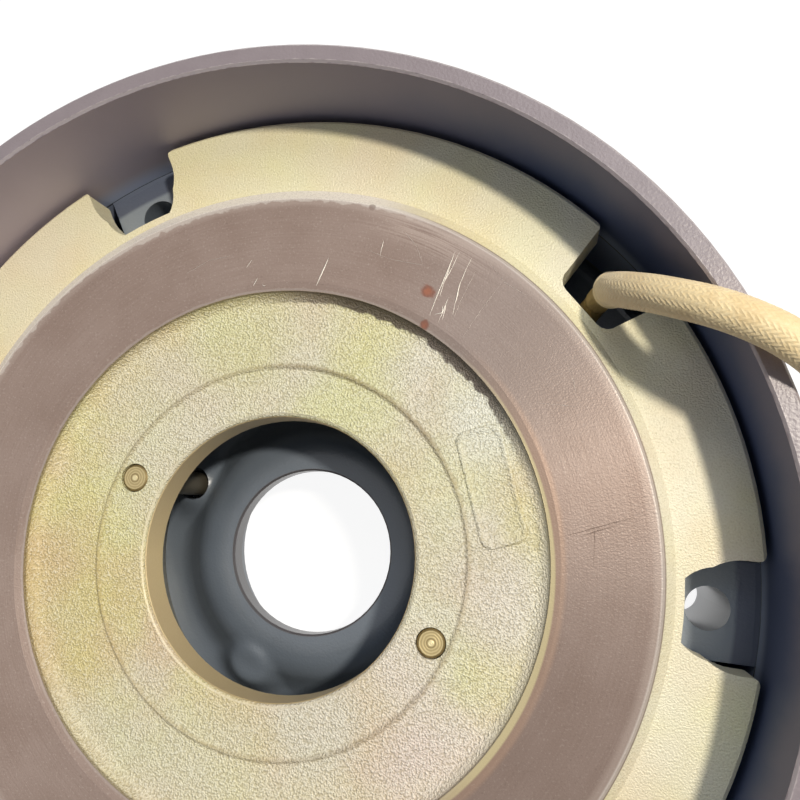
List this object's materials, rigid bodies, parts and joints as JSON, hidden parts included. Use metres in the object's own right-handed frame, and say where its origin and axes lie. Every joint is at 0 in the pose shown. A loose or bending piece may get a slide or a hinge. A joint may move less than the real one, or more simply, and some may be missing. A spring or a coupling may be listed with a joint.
{
  "type": "spring applied brake",
  "caption": "Spring applied electromagnetic brake: a round cast cup with a ring magnet, springs and a chromated pressure plate with a ground friction ring and a braided coil cable.",
  "frame": {"origin": "on the brake's axis at the flat back face", "axes": "+Z along the axis towards the friction face and the open rim; +X and +Y across the cup"},
  "size_m": [0.3279, 0.2086, 0.0808],
  "materials": {
    "painted_casting": "blue-grey machine paint on a casting, turned bare at the rim",
    "magnet_steel": "turned mild steel",
    "bobbin_plastic": "moulded",
    "copper_wire": "enamelled copper",
    "potting_resin": "cast resin",
    "chromated_iron": "yellow chromate on an iron casting with a ground friction ring",
    "spring_steel": "bare spring wire",
    "chromated_steel": "turned and yellow chromated",
    "zinc_steel": "zinc plated",
    "black_steel": "black oxide",
    "gland_rubber": "moulded",
    "lead_insulation": "smooth silicone sleeve",
    "glass_braid": "varnished glass braid",
    "tie_nylon": "moulded",
    "core_insulation": "smooth"
  },
  "bodies": {
    "housing": {"housing": "painted_casting", "coil_body": "magnet_steel", "coil_bobbin": "bobbin_plastic", "coil_winding": "copper_wire", "potting_ring": "potting_resin", "brake_spring_1": "spring_steel", "brake_spring_2": "spring_steel", "brake_spring_3": "spring_steel", "brake_spring_4": "spring_steel", "brake_spring_5": "spring_steel", "brake_spring_6": "spring_steel", "brake_spring_7": "spring_steel", "brake_spring_8": "spring_steel", "coil_body_screws": "black_steel", "lock_washers": "zinc_steel", "cable_gland": "gland_rubber", "lead_sleeve": "lead_insulation", "coil_cable": "glass_braid", "cable_bundle": "glass_braid", "cable_tie": "tie_nylon", "lead_ends": "core_insulation"},
    "plate": {"pressure_plate": "chromated_iron", "release_stud_1": "chromated_steel", "release_stud_2": "chromated_steel", "stud_washer_1": "zinc_steel", "stud_washer_2": "zinc_steel", "stud_nut_1": "zinc_steel", "stud_nut_2": "zinc_steel"}
  },
  "joints": [
    {"name": "plate_travel", "type": "slide", "parent": "housing", "child": "plate", "axis": [0, 0, 1], "range_m": [-0.0008, 0], "stiffness_N_per_m": 20000, "springref_m": 0.003, "deforming": ["brake_spring_1", "brake_spring_2", "brake_spring_3", "brake_spring_4", "brake_spring_5", "brake_spring_6", "brake_spring_7", "brake_spring_8"]}
  ]
}
